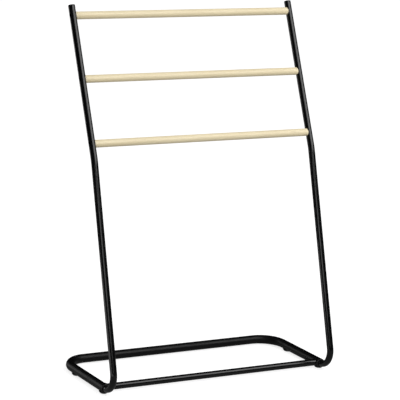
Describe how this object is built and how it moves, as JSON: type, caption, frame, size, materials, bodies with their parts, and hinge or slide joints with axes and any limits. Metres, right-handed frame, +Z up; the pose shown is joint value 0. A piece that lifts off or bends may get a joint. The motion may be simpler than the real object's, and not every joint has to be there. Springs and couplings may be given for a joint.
{
  "type": "towel rack",
  "caption": "Free-standing towel rack: bent tube uprights lean back from a U-shaped base loop and carry round wooden bars for hanging towels.",
  "frame": {"origin": "on the floor, under the centre of the rack's outline", "axes": "+X to the right along the bars, +Y to the back, where the uprights lean, +Z up"},
  "size_m": [0.5994, 0.298, 0.8625],
  "materials": {
    "coated_tube": "semi-gloss black powder coat",
    "bar_wood": "clear satin lacquer on pale hardwood",
    "black_plastic": "moulded satin black",
    "black_screw": "black-finished steel",
    "zinc_steel": "zinc-plated"
  },
  "bodies": {
    "root": {"base_loop": "coated_tube", "front_crossbar": "coated_tube", "left_upright": "coated_tube", "left_bush": "black_plastic", "left_end_cap": "black_plastic", "right_upright": "coated_tube", "right_bush": "black_plastic", "right_end_cap": "black_plastic", "left_lock_screw": "black_screw", "left_lock_nut": "zinc_steel", "right_lock_screw": "black_screw", "right_lock_nut": "zinc_steel", "top_bar": "bar_wood", "top_bar_left_insert": "zinc_steel", "top_bar_left_screw": "black_screw", "top_bar_right_insert": "zinc_steel", "top_bar_right_screw": "black_screw", "middle_bar": "bar_wood", "middle_bar_left_insert": "zinc_steel", "middle_bar_left_screw": "black_screw", "middle_bar_right_insert": "zinc_steel", "middle_bar_right_screw": "black_screw", "bottom_bar": "bar_wood", "bottom_bar_left_insert": "zinc_steel", "bottom_bar_left_screw": "black_screw", "bottom_bar_right_insert": "zinc_steel", "bottom_bar_right_screw": "black_screw", "front_left_foot": "black_plastic", "front_right_foot": "black_plastic", "back_left_foot": "black_plastic", "back_right_foot": "black_plastic"}
  },
  "joints": []
}
